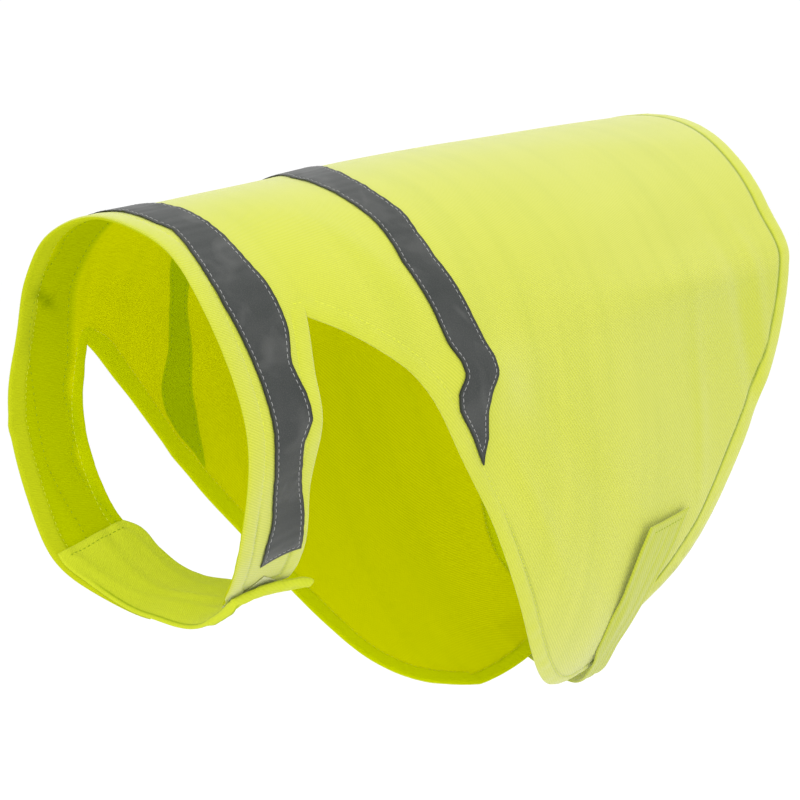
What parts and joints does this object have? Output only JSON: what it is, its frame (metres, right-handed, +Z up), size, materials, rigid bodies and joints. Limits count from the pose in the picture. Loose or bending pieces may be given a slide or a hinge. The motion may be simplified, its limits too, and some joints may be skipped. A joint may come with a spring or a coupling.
{
  "type": "dog jacket",
  "caption": "Hi-vis dog vest: back panel with side flaps and neck straps, closed under chest and belly by hook-and-loop straps, with reflective tape over neck and back",
  "frame": {"origin": "on the inner face of the back panel, on the spine line near mid-length, where the wearer's back holds the vest up", "axes": "+Z up, +Y along the spine towards the tail, neck opening towards -Y, +X towards the wearer's left side, where both straps fasten"},
  "size_m": [0.2136, 0.4391, 0.3077],
  "materials": {
    "cloth": "thin fluorescent yellow-green woven polyester with a fine diagonal rib, matt to slightly silky",
    "reflective_tape": "smooth dark grey reflective tape with light grey stitching, low sheen",
    "hook_and_loop": "pale grey-yellow hook-and-loop, matt and fuzzy"
  },
  "bodies": {
    "root": {"back_panel": "cloth", "chest_tab": "cloth", "belly_strap": "cloth", "neck_tape": "reflective_tape", "back_tape": "reflective_tape", "chest_loop": "hook_and_loop", "chest_hook": "hook_and_loop", "belly_loop": "hook_and_loop", "belly_hook": "hook_and_loop"}
  },
  "joints": []
}
